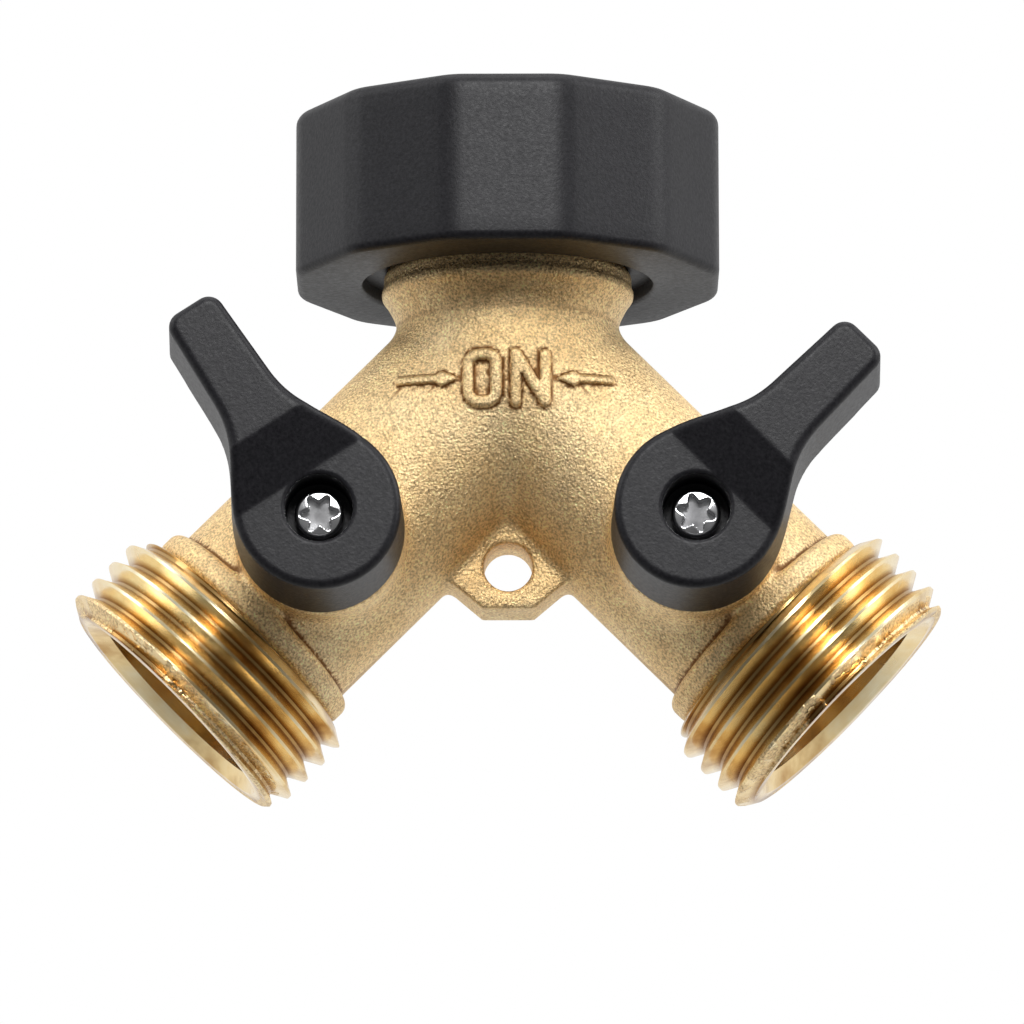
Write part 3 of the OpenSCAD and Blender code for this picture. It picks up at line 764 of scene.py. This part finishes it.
def make_grip():
    """The twelve-sided grip, with soft corners and rounded top and bottom edges."""
    corner_steps, edge_steps, facet_steps, wall_steps = 6, 8, 5, 10
    apothem = grip_high.y
    normals, base = [], []
    for facet in range(facets):
        middle = 2 * math.pi * facet / facets + math.pi / 2
        half = (apothem - corner_round) * math.tan(math.pi / facets)
        for part in range(facet_steps + 1):
            slide = half * (2 * part / facet_steps - 1)
            base.append((apothem * math.cos(middle) - slide * math.sin(middle),
                         apothem * math.sin(middle) + slide * math.cos(middle)))
            normals.append((math.cos(middle), math.sin(middle)))
        corner = middle + math.pi / facets
        corner_distance = (apothem - corner_round) / math.cos(math.pi / facets)
        for part in range(1, corner_steps):
            turn = middle + 2 * math.pi / facets * part / corner_steps
            base.append((corner_distance * math.cos(corner) + corner_round * math.cos(turn),
                         corner_distance * math.sin(corner) + corner_round * math.sin(turn)))
            normals.append((math.cos(turn), math.sin(turn)))
    base, normals = np.array(base), np.array(normals)
    angles = np.arctan2(base[:, 1], base[:, 0])
    circle = np.stack([np.cos(angles), np.sin(angles)], axis=-1)
    bottom, top = grip_low.z, grip_high.z
    rows = []
    for part in range(edge_steps + 1):
        turn = math.pi / 2 * part / edge_steps
        inset = base - normals * bottom_round * (1 - math.sin(turn))
        rows.append((inset, bottom + bottom_round * (1 - math.cos(turn))))
    wall = top - bottom - bottom_round - top_round
    for part in range(1, wall_steps):
        rows.append((base, bottom + bottom_round + wall * part / wall_steps))
    for part in range(edge_steps + 1):
        turn = math.pi / 2 * part / edge_steps
        inset = base - normals * top_round * (1 - math.cos(turn))
        rows.append((inset, top - top_round * (1 - math.sin(turn))))
    # Painted shade: a thin black web 0.15 mm under the brass nut's bottom, reaching in to radius 11.28, covers the
    # brass so the gap in the grip's hole stays dark as shade.
    for radius, height in (
        (nut_r + 0.3, top), (nut_r, top - 0.3), (nut_r, nut_low.z + 0.3), (15.4, nut_low.z),
        (11.28, nut_low.z), (11.28, nut_low.z - 0.15), (13.45, nut_low.z - 0.15),
        (13.55, bottom + 0.35), (13.65, bottom + 0.1), (13.9, bottom),
    ):
        rows.append((circle * radius, height))
    points = np.concatenate(
        [np.column_stack([row, np.full(len(row), height)]) for row, height in rows]
    )
    faces = ring_faces(len(rows), len(base))
    make_piece(
        "twelve_sided_grip", points, np.array(faces)[:, ::-1], materials["black_plastic"],
        "nut", ("nut_grip",), sharp=50,
    )


# --- Levers and screws ----------------------------------------------------------------------------


def lever_field(p, q, h):
    """The lever in its own frame: p along the handle from the stem, q across it, h towards the front."""
    draft = (handle_to - h) * 0.022
    hub = np.hypot(p, q) - (hub_r - 0.3) - draft
    share = np.clip((lever_reach - p) / (lever_reach - ramp_to), 0, 1.6)
    half = tip_half + (root_half - tip_half) * share - 0.25
    side = np.abs(q) - (half - tip_corner) - draft
    end = np.abs(p - lever_reach / 2) - (lever_reach / 2 - tip_corner - 0.25) - draft
    handle = np.hypot(np.maximum(side, 0), np.maximum(end, 0))
    handle = handle + np.minimum(np.maximum(side, end), 0) - tip_corner
    plan = join(hub, handle, handle_fillet)
    rise = (handle_to - hub_to) / (ramp_to - ramp_from)
    slope = 1 / math.hypot(1, rise)
    climb = np.clip(p - ramp_from, 0, ramp_to - ramp_from) * rise
    top = (h - hub_to - climb) * np.where(climb > 0, slope, 1)
    lift = np.clip((p - hub_r) / 1.3, 0, 1) * (handle_from - hub_from)
    bottom = hub_from + lift - h
    across, up = plan + lever_edge, top + lever_edge
    outside = np.hypot(np.maximum(across, 0), np.maximum(up, 0))
    field = outside + np.minimum(np.maximum(across, up), 0) - lever_edge
    field = np.maximum(field, bottom)
    radial = np.hypot(p, q)
    field = cut(field, prism(radial - recess_r, h, recess_floor, handle_to + 3), 0.35)
    return cut(field, prism(radial - cavity_r, h, hub_from - 2, cavity_top), 0.2)


def lever_places():
    """Each side's name and sign, its handle's direction at rest, and the direction across it."""
    for name, sign in (("left", -1), ("right", 1)):
        opened = math.radians(-joints[name + "_valve_turn"]["range_deg"][0])
        out, up = math.cos(opened) - math.sin(opened), math.cos(opened) + math.sin(opened)
        handle = np.array([sign * out * DIAGONAL, 0.0, up * DIAGONAL])
        yield name, sign, handle, np.cross(handle, (0.0, 1.0, 0.0))


def place_on_stem(points, sign, handle, across):
    origin = np.array([sign * stem_x, 0.0, stem_z])
    return origin + points @ np.array([handle, across, (0.0, -1.0, 0.0)])


def make_levers():
    step = lever_step
    low = (-hub_r - 1, -hub_r - 1, hub_from - 1)
    high = (lever_reach + 1, hub_r + 1, handle_to + 1)
    axes = grid_axes(low, high, step)
    points, quads = surface_of(lever_field(*axes), axes, step)
    for name, sign, handle, across in lever_places():
        piece = make_piece(
            name + "_handle", place_on_stem(points, sign, handle, across), quads,
            materials["black_plastic"], name + "_valve", (name + "_lever",),
        )
        thin_out(piece, 0.5)


def screw_field(p, q, h):
    """A pan head with a six-lobed recess, on a plain shank."""
    radial = np.hypot(p, q)
    head_top = screw_head_top - 0.18 * (radial / screw_head_r) ** 2
    head = prism(radial - screw_head_r, h - (head_top - screw_head_top), recess_floor, screw_head_top, 0.35)
    shank = prism(radial - screw_r, h, screw_bottom, recess_floor + 0.5, 0.2)
    around = np.arctan2(q, p)
    lobes = radial - lobe_r - lobe_depth * np.cos(6 * around)
    recess = prism(lobes * 0.8, h, recess_floor + 0.5, screw_head_top + 2)
    return cut(np.minimum(head, shank), recess, 0.12)


def make_screws():
    step = screw_step
    reach = screw_head_r + 0.3
    low, high = (-reach, -reach, screw_bottom - 0.3), (reach, reach, screw_head_top + 0.3)
    axes = grid_axes(low, high, step)
    points, quads = surface_of(screw_field(*axes), axes, step)
    for name, sign, handle, across in lever_places():
        piece = make_piece(
            name + "_screw", place_on_stem(points, sign, handle, across), quads,
            materials["chromed_screw"], name + "_valve", (name + "_lever_screw",),
        )
        thin_out(piece, 0.6)


# --- Stage ----------------------------------------------------------------------------------------

def make_floor():
    bpy.ops.mesh.primitive_plane_add(size=8, location=(0, 0, FLOOR_Z))
    floor = bpy.context.object
    floor.name = "floor"
    graph = Graph("pale_floor")
    tone = graph.ramp(graph.noise(1.2, 2.0), [(0.3, 0.80), (0.7, 0.84)])
    graph.feed(graph.shader, {"Base Color": tone, "Roughness": 0.7})
    floor.data.materials.append(graph.material)
    floor.visible_glossy = False
    floor.visible_diffuse = False


def add_light(name, place, size, power):
    data = bpy.data.lights.new(name, "AREA")
    data.shape = "RECTANGLE"
    data.size, data.size_y = size
    data.energy = power
    light = bpy.data.objects.new(name, data)
    bpy.context.scene.collection.objects.link(light)
    light.location = place
    aim = MIDDLE - Vector(place)
    light.rotation_euler = aim.to_track_quat("-Z", "Y").to_euler()


def make_lights():
    """Four lamps, and a world that is dim in front and bright behind and above."""
    add_light("key", (0.03, -0.62, 0.28), (0.26, 0.16), 3.3)
    add_light("right", (0.64, -0.16, 0.34), (0.40, 0.50), 2.4)
    add_light("left", (-0.64, -0.12, 0.36), (0.35, 0.50), 1.3)
    add_light("top", (0.0, -0.10, 0.70), (0.60, 0.40), 1.2)
    world = bpy.data.worlds.new("studio")
    bpy.context.scene.world = world
    world.use_nodes = True
    tree = world.node_tree
    background = tree.nodes["Background"]
    direction = tree.nodes.new("ShaderNodeTexCoord").outputs["Generated"]
    lean = tree.nodes.new("ShaderNodeVectorMath")
    lean.operation = "DOT_PRODUCT"
    lean.inputs[1].default_value = WORLD_LEAN
    tree.links.new(direction, lean.inputs[0])
    back = tree.nodes.new("ShaderNodeMapRange")
    back.interpolation_type = "SMOOTHSTEP"
    for key, value in (("From Min", -1.0), ("From Max", 0.5), ("To Min", 0.10), ("To Max", 0.90)):
        back.inputs[key].default_value = value
    tree.links.new(lean.outputs["Value"], back.inputs["Value"])
    seen = tree.nodes.new("ShaderNodeLightPath").outputs["Is Camera Ray"]
    mix = tree.nodes.new("ShaderNodeMix")
    mix.inputs[3].default_value = 1.0
    tree.links.new(seen, mix.inputs[0])
    tree.links.new(back.outputs["Result"], mix.inputs[2])
    tree.links.new(mix.outputs[0], background.inputs["Strength"])
    background.inputs["Color"].default_value = (1, 1, 1, 1)


def make_camera():
    """Looks up at the splitter from a little below, from far enough away to flatten it."""
    distance, below, turn = 0.90, math.radians(12.45), math.radians(0.1)
    back = Vector((math.sin(turn) * math.cos(below), -math.cos(turn) * math.cos(below), -math.sin(below)))
    data = bpy.data.cameras.new("camera")
    data.lens = 340
    data.sensor_width = 36
    data.shift_x = 0.0039
    data.shift_y = -0.0485
    camera = bpy.data.objects.new("camera", data)
    bpy.context.scene.collection.objects.link(camera)
    camera.location = MIDDLE + back * distance
    look = (MIDDLE - camera.location).to_track_quat("-Z", "Y").to_matrix().to_4x4()
    camera.rotation_euler = (look @ Matrix.Rotation(math.radians(-0.1), 4, "Z")).to_euler()
    bpy.context.scene.camera = camera


# --- Putting it together --------------------------------------------------------------------------


def dress_cad_nodes():
    """Gives every CAD node that stays in the picture the material of its slot."""
    slots = {part["node"]: part["material_slot"] for part in frame["record"]["subparts"]}
    for name, node in frame["nodes"].items():
        for slot in node.material_slots:
            slot.material = materials[slots[name]]


dress_cad_nodes()
make_casting()
for side in (-1, 1):
    make_outlet(side)
make_nut()
make_grip()
make_levers()
make_screws()
make_floor()
make_lights()
make_camera()
bpy.context.scene.view_settings.view_transform = "Standard"
